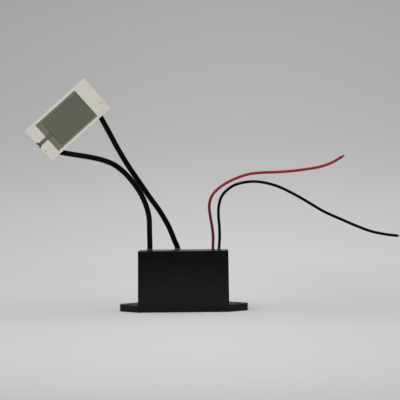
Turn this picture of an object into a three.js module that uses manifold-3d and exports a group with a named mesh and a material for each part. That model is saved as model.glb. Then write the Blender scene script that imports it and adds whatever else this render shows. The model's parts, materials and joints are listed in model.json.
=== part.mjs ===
// Ozone generator module: a potted high-voltage power pack with two mounting ears,
// two high-voltage leads that carry a ceramic discharge plate, and two supply leads.
// Millimetres, +Z up. The origin is the centre of the case's underside, +X runs along
// the case towards the supply leads, and -Y is the side that the plate's electrode faces.

import * as THREE from 'three';
import { mergeVertices } from 'three/addons/utils/BufferGeometryUtils.js';
import Module from 'manifold-3d';

const wasm = await Module();
wasm.setup();

// ---------------------------------------------------------------- driving sizes

// clearances
const fitGap = 0.3; // between a piece and what is cut to take it
const filmGap = 0.05; // between a printed film and what it is printed on
const windingSlack = 0.1; // between a winding and its bobbin
const solderGap = 0.15; // between solder and the wire that it holds

// case
const caseLength = 45.8;
const caseDepth = 25;
const caseHeight = 30.5;
const caseWall = 1.5;
const caseFloor = 1.8;
const caseDraft = THREE.MathUtils.degToRad(0.45);
const caseCornerRadius = 1;
const innerCornerRadius = 0.5;

// mounting ears
const earSpan = 65; // tip to tip
const earThickness = 3.5;
const earTipWidth = 5;
const earTipRadius = 1.2;
const earHoleRadius = 2;
const earHolePitch = 55;

// potting
const pottingCrown = 0.4; // how far the resin stands above the rim
const pottingSlope = 1.4; // width of its sloping margin
const crownRoot = 0.5; // how far the crown reaches down into the body of the resin

// circuit board and the posts under it
const standoffHeight = 3;
const standoffRadius = 1.5;
const standoffInset = 2.5; // post centre to board edge
const boardThickness = 1.6;
const boardMargin = 1.2; // board edge to case wall
const legRadius = 0.3;
const legStandOut = 1; // how far a leg reaches below the board

// transformer
const transformerX = -10;
const coreStack = 5;
const coreWidth = 16;
const coreHalfHeight = 7;
const coreBack = 2.8;
const coreOuterLeg = 2.2;
const coreCentreLeg = 4.2;
const coreAirGap = 0.2;
const bobbinWall = 0.6;
const bobbinFlange = 0.7;
const bobbinWidth = 9.8;
const primaryShare = 0.37; // of the winding room
const windingInset = 0.35; // winding surface to flange edge
const windingCorner = 1.2;
const pinRadius = 0.35;
const pinDepth = 2; // in the bobbin's foot
const pinSpacing = 7.6;

// reservoir capacitor
const capacitorX = 4;
const capacitorY = 5;
const capacitorRadius = 4;
const capacitorHeight = 11.5;
const capacitorGroove = 0.3;
const capacitorGrooveLow = 1.2; // above the can's foot
const capacitorGrooveHigh = 2;
const capacitorLegPitch = 3.5;

// switching transistor
const transistorX = 4;
const transistorY = -5.5;
const transistorWidth = 8;
const transistorDepth = 2.9;
const transistorHeight = 11;
const transistorLift = 2.4; // legs' length above the board
const transistorHoleRadius = 1.5;
const transistorHoleDrop = 3.5; // its centre below the body's top
const transistorLegPitch = 2.3;

// resonant film capacitor
const filmCapacitorX = 11;
const filmCapacitorY = 5.6;
const filmCapacitorSize = new THREE.Vector3(3.6, 7.2, 8);
const filmCapacitorLegPitch = 5;

// axial parts, lying along Y
const axialParts = [
  { name: 'base_resistor', x: 9.9, y: -5, radius: 1.2, length: 5, legPitch: 8, colour: 0xc9a878 },
  { name: 'start_resistor', x: 12.7, y: -5, radius: 1.2, length: 5, legPitch: 8, colour: 0xc9a878 },
  { name: 'polarity_diode', x: 15.4, y: -5, radius: 1.3, length: 4, legPitch: 6, colour: 0x1c1c1e },
];

// ceramic plate, in its own frame: x along it, z across it, -y the printed front
const plateLength = 40;
const plateWidth = 20;
const plateThickness = 1;
const plateCornerRadius = 0.4;
const platePlace = new THREE.Vector3(-56.8, -14.5, 96.9);
const plateTurn = { rise: 42.5, yaw: 11.5, lean: 5 }; // degrees
const notchRadius = 1.35;
const notchDepth = 1.2;
const glazeStart = 5.8; // plate's left end to the glaze
const glazeLength = 26.45;
const glazeWidth = 17;
const electrodeInsetLeft = 3.1; // glaze edge to electrode
const electrodeInsetSide = 1.25;
const electrodeInsetRight = 0.1;
const tabWidth = 1.7;
const filmThickness = 0.1;
const rearElectrodeLength = 24.5;
const rearElectrodeWidth = 14.5;
const rearTabReach = 4.6; // how far the tab runs on past the rear electrode
const terminalWall = 0.5;
const terminalStandOut = 0.3;
const rearSolderRadius = 1.9;
const rearSolderHeight = 1.5;
const rearSolderX = { left: -16.9, right: 15 };
const plateWireLead = 2; // straight stretch of the stripped wire at the plate

// leads: the routes are the hand-laid centrelines, from the board end outwards
const highVoltageLead = { radius: 1.35, wireRadius: 0.45 };
const supplyLead = { radius: 0.725, wireRadius: 0.3 };
const leadSides = 8;
const stepsPerDiameter = 1 / 2.5;
const boardStrip = 2.2; // bare wire above the board
const exitDepth = 12; // level of each route's second point, below its exit
const coneHeight = 0.8; // solder under the board
const coneRim = 0.2; // solder's thickness round the wire at the cone's tip
const coneFoot = 0.8; // and at the board
const redBareEnd = 1.8;
const blackBareEnd = 5;

const leftRoute = [
  [-16.9, -3, 31.9], [-17, -3.4, 40], [-17.2, -4.2, 47.8], [-18.8, -5.2, 54.2], [-21.3, -6.4, 59.8],
  [-25.3, -7.8, 65.8], [-29.7, -9.2, 70.7], [-34.2, -10.5, 74.2], [-39.1, -11.7, 76.3],
  [-45.4, -12.7, 77.9], [-51.7, -13.3, 79], [-59.2, -13.9, 80.3], [-64, -14.7, 81.4],
];
const rightRoute = [
  [-3, 2, 31.8], [-4.4, 2, 35.3], [-7.3, 1.7, 42.5], [-11.7, 1, 50.4], [-16.9, 0.1, 57.8],
  [-20.8, -0.8, 63.6], [-24.8, -1.9, 69.6], [-28.9, -3.3, 76], [-33.3, -5, 83.8], [-37, -6.7, 91],
  [-41, -8.5, 98.4], [-43.6, -9.2, 102],
];
const redRoute = [
  [15, 0.5, 31], [15.2, 0.5, 37.2], [14.7, 0.5, 42.6], [13.8, 0.5, 48.1], [13.4, 0.5, 53.5],
  [14.8, 0.7, 58.2], [17.8, 1, 61.6], [22.5, 1.4, 64.8], [28, 1.8, 67.3], [33.9, 2.2, 69.1],
  [40.7, 2.6, 69.8], [47.6, 2.9, 70], [54.5, 3.1, 70.4], [62, 3.2, 71.2], [69.6, 3.2, 72.4],
  [75.8, 3.1, 74.4], [81.6, 3, 77.6],
];
const blackRoute = [
  [18.1, -1.5, 31], [18.5, -1.5, 37.1], [18.4, -1.5, 42.6], [18, -1.5, 48], [18.2, -1.5, 52.8],
  [19.5, -1.6, 57.4], [21.9, -1.8, 60.5], [25.9, -2.1, 63.3], [31.1, -2.4, 64.8], [36.4, -2.7, 65.2],
  [41.9, -3, 64.5], [48.5, -3.2, 62.5], [56.6, -3.4, 58.5], [64.7, -3.5, 53.7], [71.5, -3.5, 49.6],
  [79.8, -3.4, 45.8], [87.9, -3.2, 42.2], [94.7, -3, 39.6], [102.1, -2.8, 37.9], [108.9, -2.6, 37],
];

// ---------------------------------------------------------------- levels that follow

const boardUnderside = caseFloor + standoffHeight;
const boardTop = boardUnderside + boardThickness;
const boardLength = caseLength - 2 * (caseWall + boardMargin);
const boardDepth = caseDepth - 2 * (caseWall + boardMargin);
const legEnd = boardUnderside - legStandOut;
const legHoleRadius = legRadius + fitGap;

// ---------------------------------------------------------------- solids

// A closed geometry as a manifold solid.
function solid(geometry) {
  const bare = geometry.clone();
  bare.deleteAttribute('normal');
  bare.deleteAttribute('uv');
  const merged = mergeVertices(bare, 1e-4);
  const corners = merged.index.array;
  const kept = [];
  for (let i = 0; i < corners.length; i += 3) {
    const [a, b, c] = [corners[i], corners[i + 1], corners[i + 2]];
    if (a !== b && b !== c && c !== a) kept.push(a, b, c);
  }
  const vertProperties = Float32Array.from(merged.getAttribute('position').array);
  return new wasm.Manifold(new wasm.Mesh({ numProp: 3, vertProperties, triVerts: Uint32Array.from(kept) }));
}

// A manifold solid as a geometry.
function geometryOf(shape) {
  const { vertProperties, triVerts } = shape.getMesh();
  const geometry = new THREE.BufferGeometry();
  geometry.setAttribute('position', new THREE.BufferAttribute(Float32Array.from(vertProperties), 3));
  geometry.setIndex(new THREE.BufferAttribute(Uint32Array.from(triVerts), 1));
  geometry.computeVertexNormals();
  return geometry;
}

function joined(...shapes) {
  return shapes.reduce((whole, next) => whole.add(next));
}

function cutBy(shape, tools) {
  return tools.reduce((left, tool) => left.subtract(tool), shape);
}

// A box by its size, the centre of its underside in plan, and its underside's level.
function block(size, x, y, underside) {
  const geometry = new THREE.BoxGeometry(size.x, size.y, size.z);
  geometry.translate(x, y, underside + size.z / 2);
  return solid(geometry);
}

// An upright cylinder between two levels.
function post(radius, low, high, x, y, sides = 12) {
  const geometry = new THREE.CylinderGeometry(radius, radius, high - low, sides);
  geometry.rotateX(Math.PI / 2);
  geometry.translate(x, y, (low + high) / 2);
  return solid(geometry);
}

// A plan outline with each corner rounded by its own radius.
function roundedOutline(corners) {
  const outline = new THREE.Shape();
  corners.forEach(({ x, y, radius }, i) => {
    const corner = new THREE.Vector2(x, y);
    const before = corners[(i + corners.length - 1) % corners.length];
    const after = corners[(i + 1) % corners.length];
    const inward = new THREE.Vector2(before.x, before.y).sub(corner).setLength(radius).add(corner);
    const outward = new THREE.Vector2(after.x, after.y).sub(corner).setLength(radius).add(corner);
    if (i === 0) outline.moveTo(inward.x, inward.y);
    else outline.lineTo(inward.x, inward.y);
    outline.quadraticCurveTo(corner.x, corner.y, outward.x, outward.y);
  });
  outline.closePath();
  return outline;
}

function rectangle(length, width, radius, x = 0, y = 0) {
  const [halfLength, halfWidth] = [length / 2, width / 2];
  return roundedOutline([
    { x: x - halfLength, y: y - halfWidth, radius },
    { x: x + halfLength, y: y - halfWidth, radius },
    { x: x + halfLength, y: y + halfWidth, radius },
    { x: x - halfLength, y: y + halfWidth, radius },
  ]);
}

function upright(outline, low, high) {
  const geometry = new THREE.ExtrudeGeometry(outline, {
    depth: high - low,
    bevelEnabled: false,
    curveSegments: 4,
  });
  geometry.translate(0, 0, low);
  return geometry;
}

// Leans the sides of an upright geometry inwards as they rise.
function drafted(geometry) {
  const position = geometry.getAttribute('position');
  const lean = Math.tan(caseDraft);
  for (let i = 0; i < position.count; i += 1) {
    const pull = lean * position.getZ(i);
    position.setX(i, position.getX(i) - Math.sign(position.getX(i)) * pull);
    position.setY(i, position.getY(i) - Math.sign(position.getY(i)) * pull);
  }
  return geometry;
}

// A tube along a curve, closed by flat ends.
function tube(curve, radius, steps) {
  const section = new THREE.Shape(
    Array.from({ length: leadSides }, (_, i) => {
      const turn = (2 * Math.PI * i) / leadSides;
      return new THREE.Vector2(radius * Math.cos(turn), radius * Math.sin(turn));
    }),
  );
  return new THREE.ExtrudeGeometry(section, { steps, bevelEnabled: false, extrudePath: curve });
}

function smoothCurve(points) {
  const places = points.map(([x, y, z]) => new THREE.Vector3(x, y, z));
  return new THREE.CatmullRomCurve3(places, false, 'centripetal');
}

// ---------------------------------------------------------------- scene

const model = new THREE.Group();

function addPiece(name, shape, colour, roughness, metalness, parent = model) {
  const geometry = shape.isBufferGeometry ? shape : geometryOf(shape);
  const material = new THREE.MeshStandardMaterial({ color: colour, roughness, metalness });
  const mesh = new THREE.Mesh(geometry, material);
  mesh.name = name;
  parent.add(mesh);
  return mesh;
}

// ---------------------------------------------------------------- case

const standoffPlaces = [-1, 1].flatMap((side) =>
  [-1, 1].map((end) => ({
    x: side * (boardLength / 2 - standoffInset),
    y: end * (boardDepth / 2 - standoffInset),
  })),
);

// Plan of the case's foot: the body's rectangle drawn out into an ear at each end.
function footOutline() {
  const [halfLength, halfDepth] = [caseLength / 2, caseDepth / 2];
  const [tip, halfTip] = [earSpan / 2, earTipWidth / 2];
  return roundedOutline([
    { x: -halfLength, y: -halfDepth, radius: caseCornerRadius },
    { x: halfLength, y: -halfDepth, radius: caseCornerRadius },
    { x: tip, y: -halfTip, radius: earTipRadius },
    { x: tip, y: halfTip, radius: earTipRadius },
    { x: halfLength, y: halfDepth, radius: caseCornerRadius },
    { x: -halfLength, y: halfDepth, radius: caseCornerRadius },
    { x: -tip, y: halfTip, radius: earTipRadius },
    { x: -tip, y: -halfTip, radius: earTipRadius },
  ]);
}

// The room inside the walls, drawn in by a clearance, from one level to another.
function caseRoom(clearance, low, high) {
  const inset = 2 * (caseWall + clearance);
  const outline = rectangle(caseLength - inset, caseDepth - inset, innerCornerRadius);
  return solid(drafted(upright(outline, low, high)));
}

function makeCase() {
  const body = solid(drafted(upright(rectangle(caseLength, caseDepth, caseCornerRadius), 0, caseHeight)));
  const foot = solid(upright(footOutline(), 0, earThickness));
  const earHoles = [-1, 1].map((side) =>
    post(earHoleRadius, -1, earThickness + 1, (side * earHolePitch) / 2, 0, 24),
  );
  const hollow = caseRoom(0, caseFloor, caseHeight + 1);
  const standoffs = standoffPlaces.map(({ x, y }) =>
    post(standoffRadius, caseFloor / 2, boardUnderside, x, y),
  );
  return joined(cutBy(joined(body, foot), [...earHoles, hollow]), ...standoffs);
}

addPiece('power_pack_case', makeCase(), 0x1c1f1e, 0.55, 0);

// ---------------------------------------------------------------- pieces on the board

// Where a wire or leg passes through the board, and the radius of each hole.
const boardHoles = [];
// What the resin keeps clear of.
const resinClears = [];

function leg(x, y, top) {
  boardHoles.push({ x, y, radius: legHoleRadius });
  return post(legRadius, legEnd, top, x, y, 8);
}

// Records the box that the resin leaves around a piece that stands on the board.
function standsInResin(size, x, y, top) {
  const grown = new THREE.Vector3(size.x + 2 * fitGap, size.y + 2 * fitGap, top + fitGap - boardTop);
  resinClears.push(block(grown, x, y, boardTop));
}

function makeReservoirCapacitor() {
  const foot = boardTop + fitGap;
  const top = foot + capacitorHeight;
  const waist = capacitorRadius - capacitorGroove;
  const [low, high] = [capacitorGrooveLow, capacitorGrooveHigh];
  const profile = [
    [0, 0], [capacitorRadius, 0], [capacitorRadius, low], [waist, (low + high) / 2],
    [capacitorRadius, high], [capacitorRadius, capacitorHeight - capacitorGroove],
    [waist, capacitorHeight], [0, capacitorHeight],
  ].map(([radius, level]) => new THREE.Vector2(radius, level));
  const can = new THREE.LatheGeometry(profile, 24);
  can.rotateX(Math.PI / 2);
  can.translate(capacitorX, capacitorY, foot);
  const legs = [-1, 1].map((side) =>
    leg(capacitorX + (side * capacitorLegPitch) / 2, capacitorY, foot + capacitorGroove),
  );
  resinClears.push(post(capacitorRadius + fitGap, boardTop, top + fitGap, capacitorX, capacitorY, 24));
  return joined(solid(can), ...legs);
}

function makeTransistor() {
  const underside = boardTop + transistorLift;
  const size = new THREE.Vector3(transistorWidth, transistorDepth, transistorHeight);
  const body = block(size, transistorX, transistorY, underside);
  const holeRadius = transistorHoleRadius;
  const hole = new THREE.CylinderGeometry(holeRadius, holeRadius, 2 * transistorDepth, 16);
  hole.translate(transistorX, transistorY, underside + transistorHeight - transistorHoleDrop);
  const legs = [-1, 0, 1].map((place) =>
    leg(transistorX + place * transistorLegPitch, transistorY, underside + legRadius),
  );
  standsInResin(size, transistorX, transistorY, underside + transistorHeight);
  return joined(cutBy(body, [solid(hole)]), ...legs);
}

function makeFilmCapacitor() {
  const underside = boardTop + fitGap;
  const legs = [-1, 1].map((side) =>
    leg(filmCapacitorX, filmCapacitorY + (side * filmCapacitorLegPitch) / 2, underside + legRadius),
  );
  standsInResin(filmCapacitorSize, filmCapacitorX, filmCapacitorY, underside + filmCapacitorSize.z);
  return joined(block(filmCapacitorSize, filmCapacitorX, filmCapacitorY, underside), ...legs);
}

// A resistor or diode: a body on a wire that is bent down into the board at both ends.
function makeAxialPart({ x, y, radius, length, legPitch }) {
  const axis = boardTop + fitGap + radius;
  const body = new THREE.CylinderGeometry(radius, radius, length, 12);
  const wire = new THREE.CylinderGeometry(legRadius, legRadius, legPitch + legRadius, 8);
  body.translate(x, y, axis);
  wire.translate(x, y, axis);
  const legs = [-1, 1].map((end) => leg(x, y + (end * legPitch) / 2, axis));
  standsInResin(new THREE.Vector3(2 * radius, legPitch + 2 * legRadius, 0), x, y, axis + radius);
  return joined(solid(body), solid(wire), ...legs);
}

addPiece('reservoir_capacitor', makeReservoirCapacitor(), 0x23304a, 0.4, 0.1);
addPiece('switching_transistor', makeTransistor(), 0x202022, 0.6, 0);
addPiece('resonant_capacitor', makeFilmCapacitor(), 0x8c2a22, 0.4, 0);
for (const part of axialParts) addPiece(part.name, makeAxialPart(part), part.colour, 0.5, 0);

// ---------------------------------------------------------------- transformer

const coreUnderside = boardTop + fitGap;
const coreTop = coreUnderside + 2 * coreHalfHeight + coreAirGap;
const bobbinUnderside = coreUnderside + coreBack + fitGap;
const bobbinTop = coreTop - coreBack - fitGap;
const bobbinBore = { x: coreStack + 2 * fitGap, y: coreCentreLeg + 2 * fitGap };
const bobbinTube = { x: bobbinBore.x + 2 * bobbinWall, y: bobbinBore.y + 2 * bobbinWall };
const bobbinDepth = coreWidth - 2 * (coreOuterLeg + fitGap);
const windingRoom = bobbinTop - bobbinUnderside - 3 * bobbinFlange;
const primaryLow = bobbinUnderside + bobbinFlange;
const primaryHigh = primaryLow + primaryShare * windingRoom;
const secondaryLow = primaryHigh + bobbinFlange;
const secondaryHigh = bobbinTop - bobbinFlange;
const pinX = (coreStack / 2 + fitGap + bobbinWidth / 2) / 2;
const pinPlaces = [-1, 1].flatMap((side) =>
  [-1, 1].map((end) => ({ x: transformerX + side * pinX, y: (end * pinSpacing) / 2 })),
);

// One E-shaped half: a back across the stack with three legs, pointing up or down.
function makeCoreHalf(underside, legsUp) {
  const backLevel = legsUp ? underside : underside + coreHalfHeight - coreBack;
  const back = block(new THREE.Vector3(coreStack, coreWidth, coreBack), transformerX, 0, backLevel);
  const outerY = (coreWidth - coreOuterLeg) / 2;
  const legs = [
    { width: coreOuterLeg, y: -outerY },
    { width: coreCentreLeg, y: 0 },
    { width: coreOuterLeg, y: outerY },
  ].map(({ width, y }) =>
    block(new THREE.Vector3(coreStack, width, coreHalfHeight), transformerX, y, underside),
  );
  return joined(back, ...legs);
}

function makeBobbin() {
  const flangeSize = new THREE.Vector3(bobbinWidth, bobbinDepth, bobbinFlange);
  const flanges = [bobbinUnderside, primaryHigh, secondaryHigh].map((level) =>
    block(flangeSize, transformerX, 0, level),
  );
  const middle = block(
    new THREE.Vector3(bobbinTube.x, bobbinTube.y, bobbinTop - bobbinUnderside),
    transformerX, 0, bobbinUnderside,
  );
  const railWidth = (bobbinWidth - coreStack) / 2 - fitGap;
  const railSize = new THREE.Vector3(railWidth, bobbinDepth, bobbinUnderside + bobbinFlange / 2 - boardTop);
  const rails = [-1, 1].map((side) => block(railSize, transformerX + side * pinX, 0, boardTop));
  const bore = block(
    new THREE.Vector3(bobbinBore.x, bobbinBore.y, bobbinTop - bobbinUnderside + 2),
    transformerX, 0, bobbinUnderside - 1,
  );
  const sockets = pinPlaces.map(({ x, y }) =>
    post(pinRadius + fitGap, boardTop - 1, boardTop + pinDepth, x, y, 8),
  );
  return cutBy(joined(middle, ...flanges, ...rails), [bore, ...sockets]);
}

function makeWinding(low, high) {
  const outer = rectangle(
    bobbinWidth - 2 * windingInset, bobbinDepth - 2 * windingInset, windingCorner, transformerX,
  );
  const slack = 2 * windingSlack;
  outer.holes.push(rectangle(bobbinTube.x + slack, bobbinTube.y + slack, windingSlack, transformerX));
  return upright(outer, low + windingSlack, high - windingSlack);
}

addPiece('lower_core_half', makeCoreHalf(coreUnderside, true), 0x3a3b3e, 0.7, 0.1);
addPiece('upper_core_half', makeCoreHalf(coreTop - coreHalfHeight, false), 0x3a3b3e, 0.7, 0.1);
addPiece('transformer_bobbin', makeBobbin(), 0x24221f, 0.6, 0);
addPiece('primary_winding', makeWinding(primaryLow, primaryHigh), 0xa6602c, 0.4, 0.6);
addPiece('secondary_winding', makeWinding(secondaryLow, secondaryHigh), 0x8f4a22, 0.4, 0.6);
pinPlaces.forEach(({ x, y }, i) => {
  boardHoles.push({ x, y, radius: pinRadius + fitGap });
  const pin = post(pinRadius, legEnd, boardTop + pinDepth - fitGap, x, y, 8);
  addPiece(`transformer_pin_${i + 1}`, pin, 0xb9bcc0, 0.35, 1);
});
standsInResin(new THREE.Vector3(bobbinWidth, coreWidth, 0), transformerX, 0, coreTop);

// ---------------------------------------------------------------- leads

// Adds the straight stretch inside the resin in front of a route's own points.
function wholeRoute(route) {
  const [x, y, exit] = route[0];
  return smoothCurve([[x, y, boardTop + boardStrip], [x, y, exit - exitDepth], ...route]);
}

function leadTube(curve, diameter, extra = 0) {
  return tube(curve, diameter / 2 + extra, Math.round((curve.getLength() / diameter) * stepsPerDiameter));
}

// The bare wire from a lead's lower end through the board, and its solder cone.
function addBoardEnd(name, [x, y], wireRadius) {
  const top = boardTop + boardStrip - fitGap;
  addPiece(`${name}_board_wire`, post(wireRadius, legEnd, top, x, y, 8), 0xc7c9cc, 0.3, 1);
  boardHoles.push({ x, y, radius: wireRadius + fitGap });
  const bore = wireRadius + solderGap;
  const profile = [
    [bore, 0], [bore, -coneHeight], [bore + coneRim, -coneHeight], [bore + coneFoot, 0], [bore, 0],
  ].map(([radius, level]) => new THREE.Vector2(radius, level));
  const cone = new THREE.LatheGeometry(profile, 12);
  cone.rotateX(Math.PI / 2);
  cone.translate(x, y, boardUnderside);
  addPiece(`${name}_board_solder`, cone, 0xb4b6b8, 0.35, 1);
  resinClears.push(post(bore + coneFoot + fitGap, legEnd - fitGap, boardUnderside, x, y));
}

function addLead(name, route, { radius, wireRadius }, colour, roughness) {
  const curve = wholeRoute(route);
  addPiece(`${name}_lead`, leadTube(curve, 2 * radius), colour, roughness, 0);
  resinClears.push(solid(leadTube(curve, 2 * radius, fitGap)));
  resinClears.push(post(radius + fitGap, boardTop, boardTop + boardStrip, route[0][0], route[0][1]));
  addBoardEnd(name, route[0], wireRadius);
  return curve;
}

// The stripped wire that runs straight on from a lead's free end.
function addBareEnd(name, curve, wireRadius, length) {
  const along = curve.getTangentAt(1);
  const start = curve.getPointAt(1).addScaledVector(along, fitGap);
  const end = start.clone().addScaledVector(along, length);
  addPiece(name, tube(new THREE.LineCurve3(start, end), wireRadius, 1), 0xb08a62, 0.35, 1);
}

const leftCurve = addLead('left_high_voltage', leftRoute, highVoltageLead, 0x121314, 0.45);
const rightCurve = addLead('right_high_voltage', rightRoute, highVoltageLead, 0x121314, 0.45);
const redCurve = addLead('red_supply', redRoute, supplyLead, 0x8c1424, 0.4);
const blackCurve = addLead('black_supply', blackRoute, supplyLead, 0x101112, 0.4);
addBareEnd('red_bare_end', redCurve, supplyLead.wireRadius, redBareEnd);
addBareEnd('black_bare_end', blackCurve, supplyLead.wireRadius, blackBareEnd);

// ---------------------------------------------------------------- board and potting

function makeBoard() {
  const outline = rectangle(boardLength, boardDepth, 0.5);
  for (const { x, y, radius } of boardHoles) {
    outline.holes.push(new THREE.Path().absarc(x, y, radius, 0, 2 * Math.PI, true));
  }
  return upright(outline, boardUnderside, boardTop);
}

// The cured resin: it fills the case around everything on the board, and stands proud of the rim.
function makePotting() {
  const base = caseRoom(fitGap, caseFloor + fitGap, caseHeight);
  const inset = 2 * (caseWall + fitGap + Math.tan(caseDraft) * caseHeight + pottingSlope);
  const crown = new THREE.ExtrudeGeometry(rectangle(caseLength - inset, caseDepth - inset, 1), {
    depth: crownRoot,
    bevelThickness: pottingCrown,
    bevelSize: pottingSlope,
    bevelSegments: 2,
    curveSegments: 3,
  });
  crown.translate(0, 0, caseHeight - crownRoot);
  const boardSize = new THREE.Vector3(
    boardLength + 2 * fitGap, boardDepth + 2 * fitGap, boardThickness + 2 * fitGap,
  );
  const legs = boardHoles.map(({ x, y, radius }) => post(radius, legEnd - fitGap, boardUnderside, x, y, 8));
  const posts = standoffPlaces.map(({ x, y }) => post(standoffRadius + fitGap, 0, boardTop, x, y));
  const boardRoom = block(boardSize, 0, 0, boardUnderside - fitGap);
  return cutBy(joined(base, solid(crown)), [boardRoom, ...posts, ...legs, ...resinClears]);
}

addPiece('driver_board', makeBoard(), 0xb99a5e, 0.6, 0);
addPiece('potting_compound', makePotting(), 0x191b1c, 0.3, 0);

// ---------------------------------------------------------------- ceramic plate

const plate = new THREE.Group();
plate.position.copy(platePlace);
plate.rotation.set(
  THREE.MathUtils.degToRad(plateTurn.lean),
  -THREE.MathUtils.degToRad(plateTurn.rise),
  THREE.MathUtils.degToRad(plateTurn.yaw),
  'YZX',
);
model.add(plate);
plate.updateMatrixWorld(true);

const plateFront = -plateThickness / 2;
const plateBack = plateThickness / 2;
const glazeFront = plateFront - filmGap - filmThickness;
const leftEnd = -plateLength / 2;
const glazeLeft = leftEnd + glazeStart;
const electrodeLeft = glazeLeft + electrodeInsetLeft;
const electrodeRight = glazeLeft + glazeLength - electrodeInsetRight;
const electrodeWidth = glazeWidth - 2 * electrodeInsetSide;
const notchCentre = leftEnd + notchDepth - notchRadius;

// Extrudes an outline drawn in the plate's x and z between two y levels.
function acrossPlate(outline, front, back) {
  const geometry = new THREE.ExtrudeGeometry(outline, {
    depth: back - front,
    bevelEnabled: false,
    curveSegments: 6,
  });
  geometry.rotateX(Math.PI / 2);
  geometry.translate(0, back, 0);
  return geometry;
}

// An electrode film: a rectangle with a narrow tab on one side.
function electrodeOutline(low, high, width, tabEnd) {
  const [half, halfTab] = [width / 2, tabWidth / 2];
  const tabAt = (root, turn) => [
    [root, -turn * halfTab], [tabEnd, -turn * halfTab], [tabEnd, turn * halfTab], [root, turn * halfTab],
  ];
  const right = tabEnd > high ? tabAt(high, 1) : [];
  const left = tabEnd < low ? tabAt(low, -1) : [];
  const corners = [[low, -half], [high, -half], ...right, [high, half], [low, half], ...left];
  return new THREE.Shape(corners.map(([x, z]) => new THREE.Vector2(x, z)));
}

function makeCeramicPlate() {
  const outline = rectangle(plateLength, plateWidth, plateCornerRadius);
  const slab = solid(acrossPlate(outline, plateFront, plateBack));
  const notch = new THREE.CylinderGeometry(notchRadius, notchRadius, 3 * plateThickness, 24);
  notch.translate(notchCentre, 0, 0);
  return slab.subtract(solid(notch));
}

// Solder that lines the notch and joins the printed tab to the wire at the back.
function makeEdgeTerminal() {
  const outer = notchRadius - solderGap;
  const ring = new THREE.Shape();
  ring.absarc(notchCentre, 0, outer, -Math.PI / 3, Math.PI / 3, false);
  ring.absarc(notchCentre, 0, outer - terminalWall, Math.PI / 3, -Math.PI / 3, true);
  ring.closePath();
  return acrossPlate(ring, plateFront - terminalStandOut, plateBack + terminalStandOut);
}

// The stripped wire at the plate: it leaves the lead's end and comes down into the solder.
function plateWireCurve(leadCurve, solderX) {
  const along = leadCurve.getTangentAt(1);
  const start = plate.worldToLocal(leadCurve.getPointAt(1).addScaledVector(along, fitGap));
  const onward = plate.worldToLocal(leadCurve.getPointAt(1).addScaledVector(along, plateWireLead));
  const restingY = plateBack + filmGap + filmThickness + fitGap + highVoltageLead.wireRadius;
  return new THREE.CatmullRomCurve3(
    [start, onward, new THREE.Vector3(solderX, restingY, 0)], false, 'centripetal',
  );
}

function makeRearSolder(solderX, wireCurve) {
  const underside = plateBack + filmThickness + 2 * filmGap;
  const dome = new THREE.SphereGeometry(rearSolderRadius, 16, 10);
  dome.scale(1, rearSolderHeight / rearSolderRadius, 1);
  dome.translate(solderX, underside, 0);
  const halfSpace = new THREE.BoxGeometry(3 * rearSolderRadius, rearSolderHeight, 3 * rearSolderRadius);
  halfSpace.translate(solderX, underside - rearSolderHeight / 2, 0);
  const wireRoom = tube(wireCurve, highVoltageLead.wireRadius + solderGap, 8);
  return cutBy(solid(dome), [solid(halfSpace), solid(wireRoom)]);
}

addPiece('ceramic_plate', makeCeramicPlate(), 0xe4e0d0, 0.55, 0, plate);
const glazeOutline = rectangle(glazeLength, glazeWidth, 0.15, glazeLeft + glazeLength / 2);
const glaze = acrossPlate(glazeOutline, glazeFront, plateFront - filmGap);
addPiece('glaze_layer', glaze, 0x72705e, 0.5, 0, plate);
const frontOutline = electrodeOutline(
  electrodeLeft, electrodeRight, electrodeWidth, leftEnd + notchDepth + solderGap,
);
const frontFilm = acrossPlate(frontOutline, glazeFront - filmGap - filmThickness, glazeFront - filmGap);
addPiece('front_electrode', frontFilm, 0x60605a, 0.55, 0.1, plate);
const rearEnd = rearElectrodeLength / 2;
const rearOutline = electrodeOutline(-rearEnd, rearEnd, rearElectrodeWidth, rearEnd + rearTabReach);
const rearFilm = acrossPlate(rearOutline, plateBack + filmGap, plateBack + filmGap + filmThickness);
addPiece('rear_electrode', rearFilm, 0x60605a, 0.55, 0.1, plate);
addPiece('edge_terminal', makeEdgeTerminal(), 0x6b4a30, 0.4, 0.6, plate);
for (const [side, curve] of [['left', leftCurve], ['right', rightCurve]]) {
  const wireCurve = plateWireCurve(curve, rearSolderX[side]);
  addPiece(`${side}_plate_wire`, tube(wireCurve, highVoltageLead.wireRadius, 8), 0xc7c9cc, 0.3, 1, plate);
  addPiece(`${side}_rear_solder`, makeRearSolder(rearSolderX[side], wireCurve), 0xb4b6b8, 0.35, 1, plate);
}

export default model;
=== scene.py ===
import json
import math

import bmesh
import bpy
from mathutils import Matrix, Vector

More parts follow.
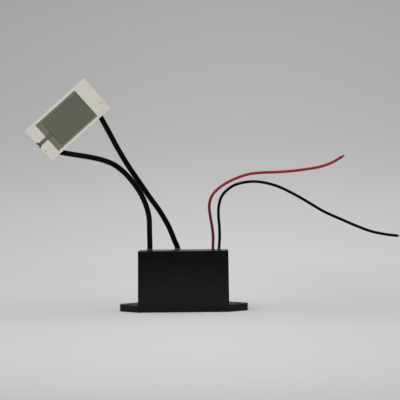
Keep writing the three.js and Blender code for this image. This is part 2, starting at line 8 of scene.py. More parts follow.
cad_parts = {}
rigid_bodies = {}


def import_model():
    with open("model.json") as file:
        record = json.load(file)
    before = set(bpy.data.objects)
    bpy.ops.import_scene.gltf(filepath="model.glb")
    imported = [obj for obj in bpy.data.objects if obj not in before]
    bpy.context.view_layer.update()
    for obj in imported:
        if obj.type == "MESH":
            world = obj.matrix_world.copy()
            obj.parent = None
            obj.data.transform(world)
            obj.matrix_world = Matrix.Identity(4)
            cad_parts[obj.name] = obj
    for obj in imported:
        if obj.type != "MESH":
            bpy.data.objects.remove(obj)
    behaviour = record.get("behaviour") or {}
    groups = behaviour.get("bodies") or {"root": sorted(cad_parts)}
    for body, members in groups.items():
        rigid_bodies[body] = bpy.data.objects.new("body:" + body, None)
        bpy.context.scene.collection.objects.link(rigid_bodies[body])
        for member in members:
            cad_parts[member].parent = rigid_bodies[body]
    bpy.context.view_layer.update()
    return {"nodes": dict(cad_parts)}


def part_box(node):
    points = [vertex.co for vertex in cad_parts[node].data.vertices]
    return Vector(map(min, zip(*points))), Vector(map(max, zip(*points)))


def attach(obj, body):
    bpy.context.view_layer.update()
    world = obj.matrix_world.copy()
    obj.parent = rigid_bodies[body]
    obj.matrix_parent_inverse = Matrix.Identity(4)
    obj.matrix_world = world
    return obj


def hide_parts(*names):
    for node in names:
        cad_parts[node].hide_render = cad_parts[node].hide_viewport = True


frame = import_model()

mm = 0.001
touching = 2e-6  # metres; points this near each other are one
for extra in [o for o in bpy.data.objects if o.name in ("Cube", "Light", "Camera")]:
    bpy.data.objects.remove(extra)  # what an empty file starts with


def metres(*place):
    return Vector(place) * mm


# small helpers for modelling

def clearPick():  # before a new primitive, which then stands alone
    bpy.ops.object.select_all(action="DESELECT")


def pickUp(*pieces):  # the last one becomes the active one
    clearPick()
    for piece in pieces:
        piece.select_set(True)
    bpy.context.view_layer.objects.active = pieces[-1]


def freshPiece(name):  # names what an operator has just added
    piece = bpy.context.object
    piece.name = name
    piece.data.name = name
    return piece


def startEditing(piece, kind):
    pickUp(piece)
    bpy.ops.object.mode_set(mode="EDIT")
    bpy.ops.mesh.select_mode(type=kind)
    bpy.ops.mesh.select_all(action="DESELECT")


def chooseAll():
    bpy.ops.mesh.select_all(action="SELECT")


def stopEditing(outward=False):  # outward turns all faces outwards first
    if outward:
        chooseAll()
        bpy.ops.mesh.normals_make_consistent(inside=False)
    bpy.ops.object.mode_set(mode="OBJECT")


def choose(piece, kind, test):  # selects the faces, edges or verts that pass a test
    bpy.ops.mesh.select_all(action="DESELECT")
    mesh = bmesh.from_edit_mesh(piece.data)
    for part in getattr(mesh, kind):
        if test(part):
            part.select_set(True)
    bmesh.update_edit_mesh(piece.data)


def facing(x, y, z):  # a test for faces that look one way
    way = Vector((x, y, z))
    return lambda face: face.normal.dot(way) > 0.9


def standsAlong(axis):  # a test for edges that run along x, y or z, for axis 0, 1 or 2
    def test(edge):
        run = edge.verts[0].co - edge.verts[1].co
        return run.length > 1e-7 and abs(run.normalized()[axis]) > 0.95

    return test


def uprightEdges(nearest, farthest=math.inf):  # a test, by how far along x they stand
    upright = standsAlong(2)
    return lambda edge: upright(edge) and nearest * mm < abs(edge.verts[0].co.x) < farthest * mm


def pull(x, y, z):  # extrudes what is selected, in millimetres
    bpy.ops.mesh.extrude_region_move(TRANSFORM_OT_translate={"value": (x * mm, y * mm, z * mm)})


def spread(x, y, z=1):  # scales what is selected about its own middle
    bpy.ops.transform.resize(value=(x, y, z))


def inset(thickness, depth=0.0):
    bpy.ops.mesh.inset(thickness=thickness * mm, depth=depth * mm)


def roundEdges(piece, test, radius, segments):
    choose(piece, "edges", test)
    bpy.ops.mesh.bevel(offset=radius * mm, segments=segments, affect="EDGES")


def softenEdges(piece, width, segments):  # a fine bevel on all that is sharp
    pickUp(piece)
    soft = piece.modifiers.new("softEdges", "BEVEL")
    soft.width = width * mm
    soft.segments = segments
    soft.limit_method = "ANGLE"
    soft.angle_limit = math.radians(32)
    bpy.ops.object.modifier_apply(modifier=soft.name)


def putInOrder(piece):  # a boolean's own order changes from run to run
    startEditing(piece, "VERT")
    mesh = bmesh.from_edit_mesh(piece.data)
    for parts, key in (
        (mesh.verts, lambda vert: tuple(vert.co)),
        (mesh.edges, lambda edge: sorted(vert.index for vert in edge.verts)),
        (mesh.faces, lambda face: sorted(vert.index for vert in face.verts)),
    ):
        rank = {part: i for i, part in enumerate(sorted(parts, key=key))}
        parts.sort(key=rank.get)
        parts.index_update()
    bmesh.update_edit_mesh(piece.data)
    stopEditing()


def combine(piece, other, operation):  # joins the other to the piece, or cuts it away
    pickUp(piece)
    joint = piece.modifiers.new("combine", "BOOLEAN")
    joint.operation = operation
    joint.solver = "EXACT"
    joint.object = other
    bpy.ops.object.modifier_apply(modifier=joint.name)
    bpy.data.objects.remove(other)
    putInOrder(piece)


def tidyMesh(piece, flatAngle=0.2):  # welds doubles, melts needless edges
    startEditing(piece, "VERT")
    chooseAll()
    bpy.ops.mesh.remove_doubles(threshold=touching)
    bpy.ops.mesh.dissolve_limited(angle_limit=math.radians(flatAngle))
    stopEditing(outward=True)


def smoothShading(piece, angle, flats=False):  # with flats, broad flat faces keep flat shading
    pickUp(piece)
    bpy.ops.object.shade_smooth_by_angle(angle=math.radians(angle))
    if flats:
        weigh = piece.modifiers.new("flats", "WEIGHTED_NORMAL")
        weigh.keep_sharp = True
        bpy.ops.object.modifier_apply(modifier=weigh.name)


def settle(piece):  # its place goes into its mesh
    pickUp(piece)
    bpy.ops.object.transform_apply(location=True, rotation=True, scale=True)


def handOver(piece, finish, slot, node):  # a finished piece, and the CAD node it stands for
    piece.data.materials.clear()
    piece.data.materials.append(finish)
    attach(piece, "root")
    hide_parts(node)
    return piece


# small helpers for finishes

def tint(red, green, blue):  # a colour as a screen shows it, in the shader's own units
    def linear(level):
        level = level / 255
        return level / 12.92 if level < 0.04045 else ((level + 0.055) / 1.055) ** 2.4

    return (linear(red), linear(green), linear(blue), 1.0)


class Wire:  # a node's output, used in sums like a number
    def __init__(self, finish, socket):
        self.finish = finish
        self.socket = socket

    def maths(self, operation, *values):
        settings = {"operation": operation}
        return self.finish.node("ShaderNodeMath", settings, dict(enumerate(values)))

    def __add__(self, other):
        return self.maths("ADD", self, other)

    def __radd__(self, other):
        return self.maths("ADD", other, self)

    def __sub__(self, other):
        return self.maths("SUBTRACT", self, other)

    def __rsub__(self, other):
        return self.maths("SUBTRACT", other, self)

    def __mul__(self, other):
        return self.maths("MULTIPLY", self, other)

    def __rmul__(self, other):
        return self.maths("MULTIPLY", other, self)

    def __pow__(self, other):
        return self.maths("POWER", self, other)

    def __abs__(self):
        return self.maths("ABSOLUTE", self)

    def sine(self):
        return self.maths("SINE", self)

    def least(self, other):
        return self.maths("MINIMUM", self, other)

    def most(self, other):
        return self.maths("MAXIMUM", self, other)

    def output(self, name):
        return Wire(self.finish, self.socket.node.outputs[name])


class Finish:  # a material and its nodes
    def __init__(self, name, tree=None, **constants):
        if tree is None:
            self.material = bpy.data.materials.new(name)
            self.material.use_nodes = True
            tree = self.material.node_tree
            self.shader = tree.nodes["Principled BSDF"]
            for socket, value in constants.items():
                self.shader.inputs[socket.replace("_", " ")].default_value = value
        self.tree = tree

    def node(self, kind, settings=None, values=None, output=0):
        made = self.tree.nodes.new(kind)
        for key, value in (settings or {}).items():
            if key == "stops":
                ramp = made.color_ramp
                while len(ramp.elements) < len(value):
                    ramp.elements.new(1.0)
                for stop, (place, colour) in zip(ramp.elements, value):
                    stop.position = place
                    stop.color = colour
            else:
                setattr(made, key, value)
        for key, value in (values or {}).items():
            socket = made.inputs[key]
            if isinstance(value, Wire):
                self.tree.links.new(value.socket, socket)
            else:
                socket.default_value = value
        return Wire(self, made.outputs[output])

    def drive(self, socket, wire):
        self.tree.links.new(wire.socket, self.shader.inputs[socket])

    def cover(self, colour, roughness):
        self.drive("Base Color", colour)
        self.drive("Roughness", roughness)

    def relief(self, height, depth):  # depth in millimetres for a height of 1
        values = {"Height": height, "Distance": depth * mm}
        self.drive("Normal", self.node("ShaderNodeBump", {}, values))

    def split(self, vector):  # its x, y and z
        parts = self.node("ShaderNodeSeparateXYZ", {}, {0: vector})
        return [parts.output(axis) for axis in "XYZ"]

    def ground(self):  # where a point is, in millimetres
        place = self.node("ShaderNodeTexCoord").output("Object")
        return self.node("ShaderNodeMapping", {}, {"Vector": place, "Scale": (1000, 1000, 1000)})

    def noise(self, ground, size, detail=2.0, roughness=0.5):  # size in millimetres
        values = {"Vector": ground, "Scale": 1 / size, "Detail": detail, "Roughness": roughness}
        return self.node("ShaderNodeTexNoise", {}, values)

    def between(self, wire, low, high, start=0.0, end=1.0):  # a smooth step from low to high
        values = {"Value": wire, "From Min": low, "From Max": high, "To Min": start, "To Max": end}
        return self.node("ShaderNodeMapRange", {"interpolation_type": "SMOOTHSTEP"}, values)

    def mix(self, factor, *colours):  # three numbers are a colour as a screen shows it
        first, second = [
            colour if isinstance(colour, Wire) or len(colour) == 4 else tint(*colour)
            for colour in colours
        ]
        values = {0: factor, 6: first, 7: second}  # the sockets for colours
        return self.node("ShaderNodeMix", {"data_type": "RGBA"}, values, 2)


print("camera")
view = {
    "place": (8.7, -727.5, 56.1), "roll": 0.55, "lens": 128.7, "sensor": 36,
    "near": 0.01, "far": 20,  # metres
}

bpy.ops.object.camera_add(
    location=metres(*view["place"]), rotation=(math.pi / 2, math.radians(view["roll"]), 0)
)
camera = bpy.context.object
camera.data.sensor_width = view["sensor"]
camera.data.lens = view["lens"]
camera.data.clip_start = view["near"]
camera.data.clip_end = view["far"]
bpy.context.scene.camera = camera


print("leads")
leads = {
    "thick": {"radius": 1.35, "wireRadius": 0.45, "sides": 28},
    "thin": {"radius": 0.725, "wireRadius": 0.3, "sides": 20},
    "wireGap": 0.03,  # between the wire and its jacket
    "boardEnd": 8.6,  # level at which each lead starts, above the board
    "straight": 12,  # how far under the resin the straight stretch ends
    "rooted": 1.5,  # how far the free part starts under the resin
    "spacing": 0.8, "pottedSpacing": 2,
}
routes = {  # from the resin to the free end
    "left": [
        (-16.9, -3, 31.9), (-17, -3.4, 40), (-17.2, -4.2, 47.8), (-18.8, -5.2, 54.2),
        (-21.3, -6.4, 59.8), (-25.3, -7.8, 65.8), (-29.7, -9.2, 70.7), (-34.2, -10.5, 74.2),
        (-39.1, -11.7, 76.3), (-45.4, -12.7, 77.9), (-51.7, -13.3, 79), (-59.2, -13.9, 80.3),
        (-64, -14.7, 81.4),
    ],
    "right": [
        (-3, 2, 31.8), (-4.4, 2, 35.3), (-7.3, 1.7, 42.5), (-11.7, 1, 50.4), (-16.9, 0.1, 57.8),
        (-20.8, -0.8, 63.6), (-24.8, -1.9, 69.6), (-28.9, -3.3, 76), (-33.3, -5, 83.8),
        (-37, -6.7, 91), (-41, -8.5, 98.4), (-43.6, -9.2, 102),
    ],
    "red": [
        (15, 0.5, 31), (15.2, 0.5, 37.2), (14.7, 0.5, 42.6), (13.8, 0.5, 48.1),
        (13.4, 0.5, 53.5), (14.8, 0.7, 58.2), (17.8, 1, 61.6), (22.5, 1.4, 64.8),
        (28, 1.8, 67.3), (33.9, 2.2, 69.1), (40.7, 2.6, 69.8), (47.6, 2.9, 70),
        (54.5, 3.1, 70.4), (62, 3.2, 71.2), (69.6, 3.2, 72.4), (75.8, 3.1, 74.4),
        (81.6, 3, 77.6),
    ],
    "black": [
        (18.1, -1.5, 31), (18.5, -1.5, 37.1), (18.4, -1.5, 42.6), (18, -1.5, 48),
        (18.2, -1.5, 52.8), (19.5, -1.6, 57.4), (21.9, -1.8, 60.5), (25.9, -2.1, 63.3),
        (31.1, -2.4, 64.8), (36.4, -2.7, 65.2), (41.9, -3, 64.5), (48.5, -3.2, 62.5),
        (56.6, -3.4, 58.5), (64.7, -3.5, 53.7), (71.5, -3.5, 49.6), (79.8, -3.4, 45.8),
        (87.9, -3.2, 42.2), (94.7, -3, 39.6), (102.1, -2.8, 37.9), (108.9, -2.6, 37),
    ],
}
exits = {name: route[0] for name, route in routes.items()}
kinds = {"left": "thick", "right": "thick", "red": "thin", "black": "thin"}


def slopeAt(before, place, after, gapBefore, gapAfter):  # a curve's slope at the middle point
    slope = (place - before) / gapBefore - (after - before) / (gapBefore + gapAfter)
    return slope + (after - place) / gapAfter


def smoothRoute(points):  # a smooth curve through all points, sampled every 0.2 mm
    points = [Vector(p) for p in points]
    points = [2 * points[0] - points[1], *points, 2 * points[-1] - points[-2]]
    line = []
    for before, start, end, after in zip(points, points[1:], points[2:], points[3:]):
        gaps = [(b - a).length ** 0.5 for a, b in ((before, start), (start, end), (end, after))]
        leave = slopeAt(before, start, end, gaps[0], gaps[1]) * gaps[1]
        arrive = slopeAt(start, end, after, gaps[1], gaps[2]) * gaps[1]
        steps = max(2, round((end - start).length / 0.2))
        for i in range(steps):
            t = i / steps
            line.append(
                start * (2 * t**3 - 3 * t**2 + 1) + leave * (t**3 - 2 * t**2 + t)
                + end * (3 * t**2 - 2 * t**3) + arrive * (t**3 - t**2)
            )
    return [*line, points[-2]]


def lengthOf(line):
    return sum((b - a).length for a, b in zip(line, line[1:]))


def stretchOf(line, start, end, spacing):  # part of a line, between two lengths along it
    places, reached = [], 0.0
    count = max(2, round((end - start) / spacing))
    wanted = [start + (end - start) * i / count for i in range(count + 1)]
    for a, b in zip(line, line[1:]):
        step = (b - a).length
        while wanted and wanted[0] <= reached + step + 1e-9:
            places.append(a.lerp(b, (wanted.pop(0) - reached) / step))
        reached += step
    return places + [line[-1].copy() for _ in wanted]


def layTube(name, line, radius=0.0, sides=0, profile=None, turnsPerMm=0.0, flare=1.0):
    clearPick()
    bpy.ops.curve.primitive_nurbs_path_add()
    tube = freshPiece(name)
    tube.data.splines.clear()
    tube.data.dimensions = "3D"
    tube.data.twist_mode = "MINIMUM"
    spline = tube.data.splines.new("POLY")
    spline.points.add(len(line) - 1)
    reached = 0.0
    for i, (point, place) in enumerate(zip(spline.points, line)):
        reached += (place - line[i - 1]).length if i else 0
        point.co = (*(place * mm), 1)
        point.tilt = reached * turnsPerMm * 2 * math.pi
        point.radius = 1 + (flare - 1) * (i / (len(line) - 1)) ** 2
    if profile:
        tube.data.bevel_mode = "OBJECT"
        tube.data.bevel_object = profile
    else:
        tube.data.bevel_depth = radius * mm
        tube.data.bevel_resolution = sides // 2 - 2  # 0 gives four sides, and each step two more
    tube.data.use_fill_caps = True
    pickUp(tube)
    bpy.ops.object.convert(target="MESH")
    return freshPiece(name)


wholeLines = {}
for name, route in routes.items():
    x, y, exitLevel = route[0]
    lowEnd = [(x, y, leads["boardEnd"]), (x, y, exitLevel - leads["straight"])]
    wholeLines[name] = smoothRoute([*lowEnd, *route])


platePose = {"centre": (-56.8, -14.5, 96.9), "rise": 42.5, "yaw": 11.5, "lean": 5}
plateTurn = (
    Matrix.Rotation(-math.radians(platePose["rise"]), 4, "Y")
    @ Matrix.Rotation(math.radians(platePose["yaw"]), 4, "Z")
    @ Matrix.Rotation(math.radians(platePose["lean"]), 4, "X")
)
plateMatrix = Matrix.Translation(metres(*platePose["centre"])) @ plateTurn
plateInMm = Matrix.Translation(Vector(platePose["centre"])) @ plateTurn


cutEnd = {"rim": 0.06, "rimRise": 0.03, "boreTaper": 0.02, "boreDepth": 0.3}


def closeEnds(tube, end=None, wall=0.0):  # flat faces, and a bore within the wall at a cut end
    startEditing(tube, "VERT")
    chooseAll()
    bpy.ops.mesh.remove_doubles(threshold=1e-6)
    bpy.ops.mesh.select_mode(type="FACE")
    choose(tube, "faces", lambda face: len(face.verts) != 4)
    bpy.ops.mesh.dissolve_faces()
    if wall:
        def isCut(face):
            return len(face.verts) > 4 and (face.calc_center_median() - end).length < 0.2 * mm

        choose(tube, "faces", isCut)
        inset(cutEnd["rim"], cutEnd["rimRise"])
        inset(wall - cutEnd["rim"])
        inset(cutEnd["boreTaper"], -cutEnd["boreDepth"])
    stopEditing()


silicones = {
    "black": {"shade": (3, 3, 4), "dusty": (9, 10, 10), "gloss": 0.08},
    "red": {
        "shade": (142, 17, 34), "dusty": (176, 44, 58), "gloss": 0.3,
        "paintedLightByHeight": (90, 10, 22), "shadedBelowLevels": (51, 62),  # painted shade low on the lead, up to these levels, in mm
    },
}


def siliconeFinish(name, looks):
    finish = Finish(name, Specular_IOR_Level=looks["gloss"])
    along = finish.node("ShaderNodeUVMap", {"uv_map": "UVMap"})
    drawn = finish.node("ShaderNodeMapping", {}, {"Vector": along, "Scale": (5, 14, 1)})
    dieLines = finish.noise(drawn, 1.0)
    ground = finish.ground()
    dust = finish.between(finish.noise(ground, 1.6, 4.0, 0.65), 0.56, 0.8)
    colour = finish.mix(dust * 0.5 + dieLines * 0.25, looks["shade"], looks["dusty"])
    # the lead darker low down near the case: painted shade
    if "paintedLightByHeight" in looks:
        paintedShade = finish.between(finish.split(ground)[2], *looks["shadedBelowLevels"], 0.85, 0)
        colour = finish.mix(paintedShade, colour, looks["paintedLightByHeight"])
    finish.cover(colour, 0.36 + dieLines * 0.1 + dust * 0.14)
    finish.relief(dieLines + finish.noise(ground, 0.3) * 0.3, 0.006)
    return finish.material


blackSilicone = siliconeFinish("black_silicone", silicones["black"])
redSilicone = siliconeFinish("red_silicone", silicones["red"])


def metalFinish(name, shade, dull, roughness, grain):
    finish = Finish(name, Metallic=1.0)
    ground = finish.ground()
    cloud = finish.noise(ground, grain * 6, 3.0, 0.55)
    dulled = finish.between(cloud, 0.35, 0.7)
    finish.cover(finish.mix(dulled, shade, dull), roughness + cloud * 0.25)
    finish.relief(finish.noise(ground, grain, 3.0), 0.02)
    return finish.material


tinnedCopper = metalFinish("tinned_copper", (196, 196, 192), (150, 146, 138), 0.22, 0.15)
bareCopper = metalFinish("bare_copper", (196, 128, 92), (140, 84, 58), 0.25, 0.15)
# tinned copper painted dark: painted shade for the red lead's bare strands
shadowedTin = metalFinish("shadowed_tin", (84, 70, 66), (50, 40, 40), 0.45, 0.15)
solderTin = metalFinish("solder", (190, 190, 186), (128, 124, 116), 0.18, 0.25)

freeLines, freeLengths, pottedLines = {}, {}, {}
for name, line in wholeLines.items():
    hidden = next(i for i, place in enumerate(line) if place.z >= exits[name][2] - 1e-6)
    hiddenLength = lengthOf(line[: hidden + 1])
    whole = lengthOf(line)
    root = hiddenLength - leads["rooted"]
    freeLengths[name] = whole - hiddenLength
    freeLines[name] = stretchOf(line, root, whole, leads["spacing"])
    pottedLines[name] = stretchOf(line, 0, root, leads["pottedSpacing"])

for name, line in freeLines.items():
    size = leads[kinds[name]]
    fullName = f"{name}_high_voltage_lead" if kinds[name] == "thick" else f"{name}_supply_lead"
    rubber = (redSilicone, "red_silicone") if name == "red" else (blackSilicone, "black_silicone")
    jacket = layTube(f"{name}_lead_jacket", line, size["radius"], size["sides"])
    closeEnds(jacket, line[-1] * mm, size["radius"] - size["wireRadius"] - leads["wireGap"])
    potted = layTube(f"{name}_lead_in_resin", pottedLines[name], size["radius"], size["sides"])
    closeEnds(potted)
    for part in (jacket, potted):
        smoothShading(part, 40)
        handOver(part, *rubber, fullName)

strands = {
    "lobes": 6, "sidesPerLobe": 6, "waist": 0.86,  # the waist between lobes, to a radius of 1
    "turnsPerMm": 0.12, "hidden": 0.6,  # how far they start inside the jacket
}
bareEnds = {
    # the red end's strands take the dark tin, which is painted shade
    "red": {"length": 1.7, "flare": 1.75, "finish": shadowedTin, "slot": "tinned_copper"},
    "black": {"length": 5.6, "flare": 1.2, "finish": bareCopper, "slot": "bare_copper"},
}
rearSolder = {"left": -16.9, "right": 15}  # where each joint is along the plate
plateWire = {"straight": (0.3, 2), "seatLevel": 1.4}


def strandProfile(radius):  # a ring of round lobes, for a twisted bundle
    bpy.ops.curve.primitive_bezier_circle_add()
    profile = freshPiece("strandProfile")
    profile.data.splines.clear()
    spline = profile.data.splines.new("POLY")
    sides = strands["lobes"] * strands["sidesPerLobe"]
    spline.points.add(sides - 1)
    for i, point in enumerate(spline.points):
        turn = 2 * math.pi * i / sides
        lobe = abs(math.cos(strands["lobes"] / 2 * turn)) ** 0.6
        reach = radius * (strands["waist"] + (1 - strands["waist"]) * lobe) * mm
        point.co = (reach * math.cos(turn), reach * math.sin(turn), 0, 1)
    spline.use_cyclic_u = True
    return profile


def makeStrands(name, line, radius, finish, slot, node, flare=1.0):
    profile = strandProfile(radius)
    rope = layTube(name, line, 0, 0, profile, strands["turnsPerMm"], flare)
    bpy.data.objects.remove(profile)
    closeEnds(rope)
    startEditing(rope, "FACE")
    stopEditing(outward=True)
    smoothShading(rope, 50)
    return handOver(rope, finish, slot, node)


def straightOn(line, length, steps=12):  # out of a jacket's end
    along = (line[-1] - line[-2]).normalized()
    start = line[-1] - along * strands["hidden"]
    return [start + along * length * i / steps for i in range(steps + 1)]


farPieces, plateLines = {}, {}
for name, bare in bareEnds.items():
    farPieces[name] = makeStrands(
        f"{name}_bare_strands", straightOn(wholeLines[name], bare["length"]),
        leads["thin"]["wireRadius"], bare["finish"], bare["slot"], f"{name}_bare_end",
        bare["flare"],
    )
for side, solderX in rearSolder.items():  # each thick lead's wire curves down to the plate's back
    end = wholeLines[side][-1]
    along = (end - wholeLines[side][-2]).normalized()
    bends = [end + along * step for step in plateWire["straight"]]
    seat = plateInMm @ Vector((solderX, plateWire["seatLevel"], 0))
    plateLines[side] = [end - along * strands["hidden"], *smoothRoute([*bends, seat])]
    farPieces[side] = makeStrands(
        f"{side}_plate_strands", plateLines[side], leads["thick"]["wireRadius"], tinnedCopper,
        "tinned_copper", f"{side}_plate_wire",
    )


print("floor and background")
stage = {
    "radius": 1.6, "fadeFrom": 0.22, "fadeTo": 0.58,  # metres; it fades out to the air
    "depths": (-0.35, 0.45),
    # the floor's tones from front to back: a painted fall-off of light
    "paintedFloorLight": [
        (0.03, 190, 190, 188), (0.045, 193, 193, 191), (0.085, 200, 200, 199),
        (0.155, 205, 205, 204), (0.22, 207, 207, 206), (0.3, 208, 208, 207),
        (0.39, 205, 205, 205), (0.53, 209, 209, 210), (0.7, 216, 216, 217), (0.96, 221, 221, 223),
    ],
    "rises": (-0.12, 0.2),
    "airTones": [
        (0.0, 207, 207, 208), (0.218, 208, 208, 210), (0.255, 207, 207, 208),
        (0.276, 205, 205, 205), (0.353, 199, 199, 199), (0.419, 191, 191, 191),
        (0.506, 183, 183, 183), (0.593, 179, 179, 178), (0.681, 176, 176, 175),
        (0.747, 173, 174, 173), (0.803, 170, 171, 170), (1.0, 165, 165, 165),
    ],
    "floorDim": 0.07, "airDim": 0.13,  # how much darker it gets towards the sides; on the floor this darkening is painted shade
    "roomDim": 0.8,  # how dark gloss sees the room in front
    "fill": 0.58,  # how bright the air lights the object
}
black = (0, 0, 0)


def toneRamp(finish, value, limits, tones):  # a ramp of tones between two limits of a value
    share = finish.node(
        "ShaderNodeMapRange", {}, {"Value": value, "From Min": limits[0], "From Max": limits[1]}
    )
    stops = [(place, tint(*colour)) for place, *colour in tones]
    return finish.node("ShaderNodeValToRGB", {"stops": stops}, {"Fac": share})


clearPick()
bpy.ops.mesh.primitive_circle_add(vertices=128, radius=stage["radius"], fill_type="NGON")
floor = freshPiece("floor")
matte = Finish("floor", Roughness=0.8, Specular_IOR_Level=0.0)
place = matte.node("ShaderNodeTexCoord").output("Object")
away = matte.node("ShaderNodeVectorMath", {"operation": "LENGTH"}, {0: place})
across, depth = matte.split(place)[:2]
# painted light on the floor: its tones by depth, and darker towards the sides
paintedFloorLight = toneRamp(matte, depth, stage["depths"], stage["paintedFloorLight"])
aside = matte.between(abs(across - 0.01), 0, 0.11)
matte.drive("Base Color", matte.mix(aside * stage["floorDim"], paintedFloorLight, black))
faded = matte.between(away.output("Value"), stage["fadeFrom"], stage["fadeTo"])
clear = matte.node("ShaderNodeBsdfTransparent")
blend = matte.node("ShaderNodeMixShader", {}, {0: faded, 2: clear})
matte.tree.links.new(matte.shader.outputs[0], blend.socket.node.inputs[1])
matte.tree.links.new(blend.socket, matte.tree.nodes["Material Output"].inputs[0])
floor.data.materials.append(matte.material)

world = bpy.data.worlds.new("studio")
bpy.context.scene.world = world
world.use_nodes = True
air = Finish("studio", world.node_tree)
ray = air.node("ShaderNodeLightPath")
glossy = ray.output("Is Glossy Ray")
seen = ray.output("Is Camera Ray").most(glossy).most(ray.output("Is Transmission Ray"))
across, towards, rise = air.split(air.node("ShaderNodeTexCoord").output("Generated"))
sky = toneRamp(air, rise, stage["rises"], stage["airTones"])
aside = air.between(abs(across - 0.03), 0, 0.28)
sky = air.mix(aside * stage["airDim"], sky, black)
room = air.between(towards, -0.1, -0.5) * air.between(rise, -0.02, 0.2) * glossy
sky = air.mix(room * stage["roomDim"], sky, black)
lit = air.mix(seen, (stage["fill"],) * 3 + (1,), sky)
backdrop = world.node_tree.nodes["Background"]
world.node_tree.links.new(lit.socket, backdrop.inputs["Color"])

lamps = {
    "topSoftbox": {"place": (0.0, -0.45, 1.2), "size": 1.3, "power": 7.0, "aim": (0, 0, 0.03)},
    "frontSoftbox": {"place": (-0.55, -1.0, 1.05), "size": 1.1, "power": 4.6, "aim": (0, 0, 0.06)},
}
for name, lamp in lamps.items():
    aim = Vector(lamp["aim"]) - Vector(lamp["place"])
    bpy.ops.object.light_add(
        type="AREA", location=lamp["place"], rotation=aim.to_track_quat("-Z", "Y").to_euler()
    )
    softbox = freshPiece(name)
    softbox.data.shape = "SQUARE"
    softbox.data.size = lamp["size"]
    softbox.data.energy = lamp["power"]
    softbox.visible_camera = False

bpy.context.scene.view_settings.view_transform = "Standard"


print("case")
case = {
    "length": 45.8, "depth": 25, "height": 30.5, "wall": 1.5, "floor": 1.8, "draft": 0.45,
    "corner": 0.6, "innerCorner": 0.5, "edge": 0.12,
    "earSpan": 65, "earThickness": 3.5, "earSlack": 0.12, "earTip": 5, "earTipCorner": 1.2,
    "earHole": 2.0, "earPitch": 55, "postRadius": 1.5, "postTop": 4.8, "postAt": (17.7, 7.3),
    "outerEdges": 0.6, "innerEdges": 1.3,  # how far in from the foot they are told apart
    "hollow": (40, 20, 6),
}


def cubeAt(name, size, centre):
    clearPick()
    bpy.ops.mesh.primitive_cube_add(size=1, location=metres(*centre), scale=metres(*size))
    piece = freshPiece(name)
    settle(piece)
    return piece


def rodAt(name, radius, low, high, x, y, sides=48):
    clearPick()
    bpy.ops.mesh.primitive_cylinder_add(
        vertices=sides, radius=radius * mm, depth=(high - low) * mm,
        location=metres(x, y, (low + high) / 2),
    )
    piece = freshPiece(name)
    settle(piece)
    return piece


def makeBox():  # open at the top, with walls that lean in
    lean = math.tan(math.radians(case["draft"]))
    length, depth, height = case["length"], case["depth"], case["height"]
    box = cubeAt("moulded_case", (length, depth, height), (0, 0, height / 2))
    startEditing(box, "FACE")
    choose(box, "faces", facing(0, 0, 1))
    spread(1 - 2 * lean * height / length, 1 - 2 * lean * height / depth)
    inset(case["wall"])
    pull(0, 0, case["floor"] - height)
    top, low = [
        [side / 2 - case["wall"] - lean * level for side in (length, depth)]
        for level in (height, case["floor"])
    ]
    spread(low[0] / top[0], low[1] / top[1])
    bpy.ops.mesh.select_mode(type="EDGE")
    roundEdges(box, uprightEdges(length / 2 - case["outerEdges"]), case["corner"], 6)
    roundEdges(box, uprightEdges(0, length / 2 - case["innerEdges"]), case["innerCorner"], 4)
    stopEditing()
    return box


def makeFoot():  # the ears and what joins them through the box, hollow in it
    length, depth = case["length"], case["depth"] - case["earSlack"]
    thickness = case["earThickness"]
    foot = cubeAt("foot", (length, depth, thickness), (0, 0, thickness / 2))
    startEditing(foot, "FACE")
    for side in (-1, 1):
        choose(foot, "faces", facing(side, 0, 0))
        pull(side * (case["earSpan"] - length) / 2, 0, 0)
        spread(1, case["earTip"] / depth)
    bpy.ops.mesh.select_mode(type="EDGE")
    roundEdges(foot, uprightEdges(case["earSpan"] / 2 - 0.1), case["earTipCorner"], 6)
    roundEdges(foot, uprightEdges(length / 2 - 0.1, length / 2 + 0.1), case["corner"], 4)
    stopEditing()
    middle = case["floor"] + case["hollow"][2] / 2
    combine(foot, cubeAt("hollow", case["hollow"], (0, 0, middle)), "DIFFERENCE")
    return foot


def makeCaseShell():
    shell = makeBox()
    combine(shell, makeFoot(), "UNION")
    for side in (-1, 1):
        x = side * case["earPitch"] / 2
        bore = rodAt("bore", case["earHole"], -1, case["earThickness"] + 1, x, 0)
        combine(shell, bore, "DIFFERENCE")
    for x in (-1, 1):
        for y in (-1, 1):
            place = x * case["postAt"][0], y * case["postAt"][1]
            post = rodAt("post", case["postRadius"], 1, case["postTop"], *place, 32)
            combine(shell, post, "UNION")
    tidyMesh(shell)
    softenEdges(shell, case["edge"], 3)
    startEditing(shell, "VERT")
    choose(shell, "verts", lambda vert: vert.co.z < 0.02 * mm)  # the underside lies flat again
    bpy.ops.transform.resize(value=(1, 1, 0), center_override=(0, 0, 0))
    chooseAll()
    bpy.ops.mesh.remove_doubles(threshold=touching)
    bpy.ops.mesh.dissolve_degenerate(threshold=touching)
    stopEditing()
    smoothShading(shell, 35, flats=True)
    return shell


plastic = Finish("black_abs", Specular_IOR_Level=0.12)
ground = plastic.ground()
spark = plastic.noise(ground, 0.28, 2.0, 0.6)  # the mould's spark-eroded grain
cloud = plastic.between(plastic.noise(ground, 9, 3.0, 0.55), 0.3, 0.7)
rubbed = plastic.between(plastic.noise(ground, 2.2, 4.0, 0.65), 0.58, 0.8)
height = plastic.split(ground)[2]
# lighter low down, a little less at the foot: a painted reflection of the floor
paintedLightByHeight = plastic.between(height, 31, 7) * 0.8 - plastic.between(height, 8, 0) * 0.25
wearAndPaintedReflection = cloud * 0.16 + rubbed * 0.12 + paintedLightByHeight  # mottled and rubbed wear, plus a painted reflection of the floor that makes it duller low down, but for the foot
colour = plastic.mix(wearAndPaintedReflection, (2, 3, 3), (26, 29, 29))
plastic.cover(colour, 0.34 + cloud * 0.12 + rubbed * 0.08)
plastic.relief(spark, 0.018)
handOver(makeCaseShell(), plastic.material, "black_abs", "power_pack_case")


